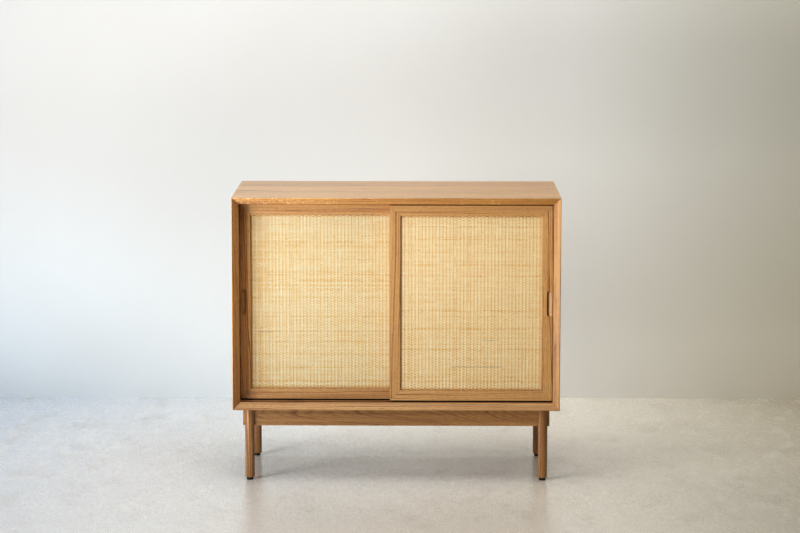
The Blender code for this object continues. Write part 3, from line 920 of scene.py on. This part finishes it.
def buildCaneGroup():
    tree, given, result = newGroup("caneFibre", [
        ("Strand", "Vector"), ("Place", "Vector"), ("Left Edge", "Float", 0.0),
        ("Seed", "Float", 0.0), ("Shade", "Float", 0.5), ("Spread", "Float", 0.4),
        ("Left Valley", "Float", 0.8),
    ], [("Color", "Color"), ("Roughness", "Float"), ("Height", "Float")])
    parts = split(tree, given["Strand"])
    own = addUp(tree, parts[1], given["Seed"])
    chance = chanceOf(tree, own)
    apart = times(tree, own, caneLook["strandsApart"])
    ribbon = combine(tree, X=parts[0], Y=apart, Z=parts[2])
    lengths = noise(tree, ribbon, *caneLook["lengthNoise"])
    fibre = noise(tree, ribbon, *caneLook["fibreNoise"])
    specks = spots(tree, ribbon, caneLook["specks"])
    share = addUp(
        tree, offCentre(tree, chance, given["Spread"]),
        offCentre(tree, lengths, caneLook["lengthShare"]),
        offCentre(tree, fibre, caneLook["fibreShare"]))
    share = addUp(tree, share, given["Shade"], clamp=True)
    colour = blendColours(tree, share, caneLook["straw"], caneLook["honey"])

    ripe = soften(tree, chance, *caneLook["ripeChance"])
    ripe = times(tree, ripe, soften(tree, lengths, *caneLook["ripeLengths"]))
    # painted shade along each strand's edges where the rows meet, mixed below with the real riper
    # strands
    edge = soften(tree, calc(tree, "ABSOLUTE", parts[2]), *caneLook["edge"])
    darker = calc(
        tree, "MAXIMUM", times(tree, ripe, caneLook["ripeShare"]),
        times(tree, edge, caneLook["edgeShare"]))
    colour = blendColours(tree, darker, colour, caneLook["amber"])

    spot = split(tree, given["Place"])
    fromLeft = less(tree, spot["X"], given["Left Edge"])
    stake = calc(tree, "DIVIDE", fromLeft, caneWeave["stakeEvery"])
    fromStake = calc(tree, "ABSOLUTE", less(tree, calc(tree, "FRACT", stake), 0.5))
    crossing = calc(tree, "FLOOR", addUp(tree, stake, 0.5))
    crossing = times(tree, addUp(tree, crossing, given["Seed"]), caneLook["stakesApart"])
    alongCrossing = combine(tree, X=crossing, Y=spot["Z"])
    uneven = noise(tree, alongCrossing, *caneLook["valleyNoise"])
    # painted shade where the strands cross between the stakes, weaker near the left edge by Left
    # Valley
    valley = soften(tree, fromStake, *caneLook["valleyReach"])
    valley = times(tree, valley, soften(tree, uneven, *caneLook["valleyUneven"]))
    valleyDepth = soften(
        tree, fromLeft, *caneLook["shadedReach"], caneLook["valley"], given["Left Valley"])
    valley = times(tree, valley, valleyDepth)
    colour = blendColours(tree, valley, colour, caneLook["amber"])
    specks = times(tree, specks, caneLook["speckShare"])
    colour = blendColours(tree, specks, colour, caneLook["node"])
    rough = addUp(tree, caneLook["gloss"], times(tree, fibre, caneLook["fibreRoughness"]))
    return finishTree(tree, result, Color=colour, Roughness=rough, Height=fibre)


def buildSlipShadowGroup():
    tree, given, result = newGroup("caneSlipShadow", [
        ("Place", "Vector"), ("Color", "Color"), ("Start", "Float", 0.0), ("End", "Float", 0.1),
        ("Level", "Float", 0.0),
    ])
    spot = split(tree, given["Place"])
    fade = slipShadowLook["fade"]
    begun = soften(tree, less(tree, spot["X"], given["Start"]), -fade, fade)
    ended = soften(tree, less(tree, spot["X"], given["End"]), fade, -fade)
    onLine = combine(tree, X=spot["X"], Y=given["Level"])
    wander = noise(tree, onLine, *slipShadowLook["wanderNoise"])
    drift = offCentre(tree, wander, slipShadowLook["wander"])
    above = less(tree, spot["Z"], given["Level"])
    fromLine = calc(tree, "ABSOLUTE", less(tree, above, drift))
    # painted shadow of the gap beside the slipped strand
    line = soften(tree, fromLine, *slipShadowLook["half"], 0.0, slipShadowLook["strength"])
    line = times(tree, line, soften(tree, wander, *slipShadowLook["broken"]))
    share = times(tree, line, times(tree, begun, ended))
    slipShadowed = blendColours(tree, share, given["Color"], slipShadowLook["colour"])
    return finishTree(tree, result, Color=slipShadowed)


def buildCanePaintedShadeGroup():
    tree, given, result = newGroup("canePaintedShade", [
        ("Place", "Vector"), ("Color", "Color"), ("Low Corner", "Vector"),
        ("High Corner", "Vector"), ("Tint", "Color"), ("Shaded", "Color"),
    ])
    fromLow = vectorCalc(tree, "SUBTRACT", given["Place"], given["Low Corner"])
    fromHigh = vectorCalc(tree, "SUBTRACT", given["High Corner"], given["Place"])
    nearest = split(tree, vectorCalc(tree, "MINIMUM", fromLow, fromHigh))
    inside = calc(tree, "MINIMUM", nearest["X"], nearest["Z"])
    # painted shade along the frame's edge
    frameShade = soften(tree, inside, *caneLook["frameShadeReach"], 0.0, caneLook["frameShadeStrength"])
    colour = blendColours(tree, frameShade, given["Color"], caneLook["frameShade"])
    # painted light tint of the door's cane
    colour = blendColours(tree, 1.0, colour, given["Tint"], "MULTIPLY")
    # painted shadow of the case's side towards the panel's left edge
    shaded = soften(tree, split(tree, fromLow)["X"], *caneLook["shadedReach"])
    colour = blendColours(tree, shaded, colour, given["Shaded"], "MULTIPLY")
    return finishTree(tree, result, Color=colour)


caneGroup = buildCaneGroup()
slipShadowGroup = buildSlipShadowGroup()
canePaintedShadeGroup = buildCanePaintedShadeGroup()


def makeCane(doorName, doorNumber, kindName, low, high):
    material, tree, surface, place = newMaterial(f"cane{kindName}.{doorName}")
    batch, kind = caneBatches[doorName], caneKinds[kindName]
    strand = addNode(tree, "Attribute", {"attribute_name": "strand"}).outputs["Vector"]
    cane = useGroup(
        tree, caneGroup,
        Strand=strand,
        Place=place,
        Left_Edge=low.x,
        Seed=kind["seed"] + kind["seedStep"] * doorNumber,
        Shade=batch["shade"] + kind["riper"],
        Spread=kind["spread"],
        Left_Valley=batch["valleyLeft"],
    )
    colour = cane["Color"]
    for start, end, level in batch["slipShadows"]:
        colour = recolour(tree, slipShadowGroup, place, colour, Start=start, End=end, Level=level)
    colour = recolour(
        tree, canePaintedShadeGroup, place, colour,
        Low_Corner=low, High_Corner=high, Tint=batch["tint"], Shaded=batch["shaded"])
    # painted light tints along the cabinet
    colour = paintLightTints(tree, place, colour, paintedLightTints["usual"])
    bump = bumpOf(tree, cane["Height"], caneLook["fibreDepth"])
    finishTree(tree, surface, Base_Color=colour, Roughness=cane["Roughness"], Normal=bump)
    return material


def caneTube(name, sides, size, place, steps, turned):
    # an open ring, drawn out step by step
    bpy.ops.mesh.primitive_circle_add(
        vertices=sides, radius=0.5, location=place, rotation=turned)
    piece = bpy.context.object
    piece.name = name
    applyPlace(piece)
    editAll(piece)
    bpy.ops.transform.resize(value=size, center_override=place)
    for step in steps:
        bpy.ops.mesh.extrude_edges_move(TRANSFORM_OT_translate={"value": step})
    backToObject()
    return piece


def trimEnds(piece, low, high, axis):
    normal = [0, 0, 0]
    normal[axis] = 1
    for limit, side in ((low, "clear_inner"), (high, "clear_outer")):
        corner = [0, 0, 0]
        corner[axis] = limit
        editAll(piece)
        bpy.ops.mesh.bisect(plane_co=corner, plane_no=normal, use_fill=True, **{side: True})
        backToObject()


def repeat(piece, count, step, merged):
    applyModifier(
        piece, "ARRAY",
        count=count,
        use_relative_offset=False,
        use_constant_offset=True,
        constant_offset_displace=step,
        use_merge_vertices=merged,
        merge_threshold=caneWeave["joinWithin"],
    )


def noteStrands(piece, axes, start, pitch, numbers):
    # along the strand, which strand it is, and how far across it: read by the material
    count = len(piece.data.vertices)
    places = np.zeros(count * 3, np.float32)
    piece.data.vertices.foreach_get("co", places)
    places = places.reshape(-1, 3)
    along = places[:, axes[0]]
    across = places[:, axes[1]] - start
    turn = np.floor(across / pitch + 0.5)
    facts = np.stack([along, numbers[0] + numbers[1] * turn, across - turn * pitch], axis=1)
    attribute = piece.data.attributes.new("strand", "FLOAT_VECTOR", "POINT")
    attribute.data.foreach_set("vector", facts.astype(np.float32).ravel())


def weaveRow(name, low, high, rowHeight, side):
    # one strand across the panel; side is 1 or -1, for the stake where it first passes in front
    every, fine = caneWeave["stakeEvery"], caneWeave["stepsPerStake"]
    thick = caneWeave["strandThick"]
    half = caneWeave["stakeThick"] / 2 + thick / 2 + caneWeave["air"]
    swing = [-side * half * sin(pi * step / fine) for step in range(2 * fine + 1)]
    steps = [(every / fine, swing[step + 1] - swing[step], 0) for step in range(2 * fine)]
    start = Vector((low.x - every / 2, (low.y + high.y) / 2, rowHeight))
    row = caneTube(
        name, caneWeave["strandSides"], (1, thick / sin(pi / 3), caneWeave["strandWide"]),
        start, steps, (0, pi / 2, 0))
    periods = floor((high.x - low.x) / (2 * every)) + 2
    repeat(row, periods, (2 * every, 0, 0), True)
    trimEnds(row, low.x, high.x, 0)
    return row


def weaveRows(doorName, low, high, rows, firstRow):
    every = caneWeave["rowEvery"]
    pieces = []
    for side, offset in ((1, 0), (-1, 1)):
        height = low.z + every * (firstRow + offset + 0.5)
        row = weaveRow(f"{doorName}_strand", low, high, height, side)
        repeat(row, (rows - offset + 1) // 2, (0, 0, 2 * every), False)
        noteStrands(row, (0, 2), height, 2 * every, (firstRow + offset, 2))
        pieces.append(row)
    return joinInto(*pieces)


def standStakes(doorName, low, high):
    every, step = caneWeave["stakeEvery"], caneWeave["stakeStep"]
    thick = caneWeave["stakeThick"]
    start = Vector((low.x + every / 2, (low.y + high.y) / 2, low.z))
    stake = caneTube(
        f"{doorName}_stake", caneWeave["stakeSides"], (thick, thick, 1), start,
        [(0, 0, step)], (0, 0, 0))
    repeat(stake, floor((high.z - low.z) / step) + 1, (0, 0, step), True)
    trimEnds(stake, low.z, high.z, 2)
    repeat(stake, floor((high.x - low.x) / every), (every, 0, 0), False)
    noteStrands(stake, (2, 0), start.x, every, (0, 1))
    return stake


def makeDrift(direction):
    texture = bpy.data.textures.new("caneDrift" + direction, "CLOUDS")
    texture.noise_scale = caneWeave["driftGrain"][direction]
    texture.noise_depth = 1
    return texture


def weaveCane(doorName, doorNumber, drifts):
    low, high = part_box(doorName + "_cane_panel")
    play = Vector((caneWeave["edgePlay"], 0, caneWeave["edgePlay"]))
    low, high = low + play, high - play
    strandLook = makeCane(doorName, doorNumber, "Strand", low, high)
    stakeLook = makeCane(doorName, doorNumber, "Stake", low, high)
    rows = floor((high.z - low.z) / caneWeave["rowEvery"])
    lowerRows = rows // 4 * 2
    parts = {
        "cane_lower": (weaveRows(doorName, low, high, lowerRows, 0), strandLook),
        "cane_upper": (
            weaveRows(doorName, low, high, rows - lowerRows, lowerRows), strandLook),
        "cane_stakes": (standStakes(doorName, low, high), stakeLook),
    }
    for partName, (piece, look) in parts.items():
        piece.name = f"{doorName}_{partName}"
        for direction, texture in drifts.items():
            applyModifier(
                piece, "DISPLACE",
                texture=texture,
                texture_coords="GLOBAL",
                direction=direction,
                strength=caneWeave["drift"][direction],
                mid_level=0.5,
            )
        pickOnly(piece)
        bpy.ops.object.shade_smooth()
        piece.data.materials.append(look)
        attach(piece, doorName)
        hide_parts(doorName + "_cane_panel")
    print("cane woven:", doorName)


def dressCane():
    drifts = {direction: makeDrift(direction) for direction in ("X", "Z")}
    for doorNumber, doorName in enumerate(caneBatches):
        weaveCane(doorName, doorNumber, drifts)


# Stage: a pale floor that runs past the wall, and a wall whose back can be seen through

stageLook = {
    "floorSize": 14.0,
    "wallPlace": 1.07,
    "wallSize": (14.0, 5.0),
    # painted light: tones at the left, behind the cabinet and at the right, for how the light
    # falls across the stage
    "tonePlaces": (-1.3, 0.55, 1.3),
    "floorTones": (colourOf(216, 226, 240), colourOf(244, 241, 233), colourOf(198, 191, 176)),
    "wallLowTones": (
        colourOf(236, 247, 255), colourOf(249, 250, 250), colourOf(240, 237, 222)),
    "wallHighTones": (
        colourOf(191, 192, 193), colourOf(214, 215, 214), colourOf(205, 203, 192)),
    # where less of the room's light comes back
    "dimReach": (1.1, 0.1),
    "wallDims": [
        {"middle": (1.45, 1.07, 0.8), "reach": (0.9, 1, 0.6), "strength": 0.15},
        {"middle": (-0.4, 1.07, 0.75), "reach": (0.75, 1, 0.55), "strength": 0.06},
    ],
    "floorDims": [{"middle": (-1.3, -0.9, 0), "reach": (0.8, 1.0, 1), "strength": 0.12}],
}

floorLook = {
    "dark": colourOf(176, 170, 160),
    "light": colourOf(240, 240, 238),
    "clouds": ((1.3, 1.3, 1), 4.0),
    "cloudReach": (0.3, 0.7, 0.0, 0.16),
    "chips": ((22, 9, 1), 2.0, 0.5, (0.5, 0.64, 0.0, 0.25)),
    "stains": ((11, 6, 1), 4.0, 0.6, (0.5, 0.7, 0.0, 0.22)),
    "grit": ((95, 60, 1), 2.0, 0.5, (0.6, 0.7)),
    "gritShare": 0.4,
    # painted shade: the floor is darker towards the viewer
    "nearReach": (0.9, -0.9, 0.0, 0.45),
    "roughness": 0.2,
    "cloudRoughness": 0.1,
    "gritRoughness": 0.1,
}

wallLook = {
    "heights": (-0.2, 1.0),
    "plaster": ((2.0, 1, 2.0), 3.0, 0.5, (0.3, 0.7, 0.0, 0.06)),
    "roughness": 0.8,
}


def buildPaintedLightAcrossGroup():
    tree, given, result = newGroup("paintedLightAcross", [
        ("Place", "Vector"), ("Left Tone", "Color"), ("Middle Tone", "Color"),
        ("Right Tone", "Color"),
    ])
    aside = split(tree, given["Place"])["X"]
    left, middle, right = stageLook["tonePlaces"]
    toMiddle, toRight = (
        addNode(tree, "MapRange", Value=aside, From_Min=low, From_Max=high).outputs["Result"]
        for low, high in ((left, middle), (middle, right)))
    colour = blendColours(tree, toMiddle, given["Left Tone"], given["Middle Tone"])
    colour = blendColours(tree, toRight, colour, given["Right Tone"])
    return finishTree(tree, result, Color=colour)


def buildDimGroup():
    tree, given, result = newGroup("dimPatch", [
        ("Place", "Vector"), ("Color", "Color"), ("Middle", "Vector"),
        ("Reach", "Vector", (1, 1, 1)), ("Strength", "Float", 0.1),
    ])
    near = howFar(tree, given["Place"], given["Middle"], given["Reach"])
    dim = soften(tree, near, *stageLook["dimReach"], 0.0, given["Strength"])
    dimmed = blendColours(tree, dim, given["Color"], (0, 0, 0, 1))
    return finishTree(tree, result, Color=dimmed)


paintedLightAcrossGroup = buildPaintedLightAcrossGroup()
dimGroup = buildDimGroup()


def paintedLightAcross(tree, place, tones):
    left, middle, right = tones
    return useGroup(
        tree, paintedLightAcrossGroup, Place=place, Left_Tone=left, Middle_Tone=middle, Right_Tone=right,
    )["Color"]


def dimPatches(tree, place, patches, colour):
    for patch in patches:
        colour = recolour(
            tree, dimGroup, place, colour,
            Middle=patch["middle"], Reach=patch["reach"], Strength=patch["strength"])
    return colour


def makeFloorFinish():
    material, tree, surface, place = newMaterial("paleFloor")
    clouds = noise(tree, place, *floorLook["clouds"])
    grit = spots(tree, place, floorLook["grit"])
    chips = spots(tree, place, floorLook["chips"])
    stains = spots(tree, place, floorLook["stains"])
    near = soften(tree, split(tree, place)["Y"], *floorLook["nearReach"])
    # painted light tones across the floor
    colour = paintedLightAcross(tree, place, stageLook["floorTones"])
    for share, shade in (
        (soften(tree, clouds, *floorLook["cloudReach"]), "dark"),
        (chips, "light"),
        (stains, "dark"),
        (times(tree, grit, floorLook["gritShare"]), "dark"),
        (near, "dark"),
    ):
        colour = blendColours(tree, share, colour, floorLook[shade])
    colour = dimPatches(tree, place, stageLook["floorDims"], colour)
    rough = addUp(
        tree, floorLook["roughness"], times(tree, clouds, floorLook["cloudRoughness"]),
        times(tree, grit, floorLook["gritRoughness"]))
    finishTree(tree, surface, Base_Color=colour, Roughness=rough)
    return material


def makeWallFinish():
    material, tree, surface, place = newMaterial("paleWall")
    # painted light: the wall is paler low down and darker higher up
    high = soften(tree, split(tree, place)["Z"], *wallLook["heights"])
    lowTone = paintedLightAcross(tree, place, stageLook["wallLowTones"])
    highTone = paintedLightAcross(tree, place, stageLook["wallHighTones"])
    colour = blendColours(tree, high, lowTone, highTone)
    plaster = spots(tree, place, wallLook["plaster"])
    colour = blendColours(tree, plaster, colour, floorLook["dark"])
    colour = dimPatches(tree, place, stageLook["wallDims"], colour)
    # a ray from the camera passes the wall's back, so the cabinet shows from behind
    output = next(node for node in tree.nodes if node.type == "OUTPUT_MATERIAL")
    shader = next(node for node in tree.nodes if node.type == "BSDF_PRINCIPLED")
    behind = addNode(tree, "NewGeometry").outputs["Backfacing"]
    looking = addNode(tree, "LightPath").outputs["Is Camera Ray"]
    clear = addNode(tree, "BsdfTransparent")
    mix = addNode(tree, "MixShader")
    feed(tree, mix.inputs[0], times(tree, behind, looking))
    feed(tree, mix.inputs[1], shader.outputs[0])
    feed(tree, mix.inputs[2], clear.outputs[0])
    feed(tree, output.inputs["Surface"], mix.outputs[0])
    finishTree(tree, surface, Base_Color=colour, Roughness=wallLook["roughness"])
    return material


def buildStage():
    bpy.ops.mesh.primitive_plane_add(size=stageLook["floorSize"], location=(0, 0, 0))
    ground = bpy.context.object
    ground.name = "stage_floor"
    ground.data.materials.append(makeFloorFinish())
    width, height = stageLook["wallSize"]
    bpy.ops.mesh.primitive_plane_add(
        size=1, location=(0, stageLook["wallPlace"], height / 2), rotation=(pi / 2, 0, 0))
    wall = bpy.context.object
    wall.name = "stage_wall"
    wall.scale = (width, height, 1)
    applyPlace(wall)
    wall.data.materials.append(makeWallFinish())
    print("stage set")


# Light: a wide window on the left, a soft fill from above, and the room all round

lightPlan = {
    # beside and before the cabinet, its sill above the floor
    "window": dict(
        size=(1.6, 1.3), place=(-2.4, -2.4, 1.5), aim=(0, -2.4, 1.5),
        power=100, colour=(0.97, 0.99, 1.0)),
    "windowFoot": dict(
        size=(1.8, 0.6), place=(-2.4, -2.2, 0.45), aim=(0, -2.2, 0.45),
        power=12, colour=(0.97, 0.99, 1.0)),
    "ceiling": dict(
        size=(3.0, 2.0), place=(-0.3, -1.2, 3.4), aim=(0, -0.2, 0.4),
        power=73, colour=(1.0, 0.975, 0.93)),
    # daylight thrown back by the floor under the window
    "floorGlow": dict(
        size=(1.6, 3.0), place=(-1.9, -1.6, 0.02), aim=(-1.9, -1.6, 2.0),
        power=165, colour=(1.0, 0.99, 0.97)),
    "wallWash": dict(
        size=(3.0, 0.6), place=(0.9, 0.1, 2.8), aim=(0.8, 1.07, 0.5),
        power=15, colour=(1.0, 0.97, 0.92)),
    # behind the cabinet, to lift its shadow off the wall and the floor
    "shadowFill": dict(
        size=(2.2, 0.3), place=(0.7, 0.5, 0.8), aim=(0.7, 1.07, 0.2),
        power=2, colour=(1.0, 0.98, 0.94)),
}

roomLight = {"colour": (1.0, 0.97, 0.93, 1), "power": 0.03}


def addLight(name, plan):
    data = bpy.data.lights.new(name, "AREA")
    data.shape = "RECTANGLE"
    data.size, data.size_y = plan["size"]
    data.energy = plan["power"]
    data.color = plan["colour"]
    light = bpy.data.objects.new(name, data)
    light.visible_camera = False
    light.location = plan["place"]
    toward = Vector(plan["aim"]) - Vector(plan["place"])
    light.rotation_euler = toward.to_track_quat("-Z", "Y").to_euler()
    scene.collection.objects.link(light)


def setLight():
    for name, plan in lightPlan.items():
        addLight(name, plan)
    world = bpy.data.worlds.new("room")
    world.use_nodes = True
    background = world.node_tree.nodes["Background"]
    background.inputs["Color"].default_value = roomLight["colour"]
    background.inputs["Strength"].default_value = roomLight["power"]
    scene.world = world
    print("light set")


# Camera, where the photograph was taken from

cameraPlan = {
    "lens": 120.0,
    "sensor": 36.0,
    "farthest": 60,
    "place": (0.0673, -7.4403, 1.5888),
    "down": 7.754,
    "toLeft": 0.450,
    "roll": 0.052,
    "gamma": 0.8,
}


def setCamera():
    data = bpy.data.cameras.new("camera")
    data.lens = cameraPlan["lens"]
    data.sensor_width = cameraPlan["sensor"]
    data.clip_end = cameraPlan["farthest"]
    camera = bpy.data.objects.new("camera", data)
    turn = Matrix.Rotation(radians(cameraPlan["toLeft"]), 4, "Z")
    tip = Matrix.Rotation(radians(90 - cameraPlan["down"]), 4, "X")
    roll = Matrix.Rotation(radians(cameraPlan["roll"]), 4, "Z")
    camera.matrix_world = Matrix.Translation(cameraPlan["place"]) @ turn @ tip @ roll
    scene.collection.objects.link(camera)
    scene.camera = camera
    scene.view_settings.view_transform = "Standard"
    scene.view_settings.gamma = cameraPlan["gamma"]
    print("camera set")


setCamera()
buildStage()
setLight()
dressOak()
dressHardware()
dressCane()
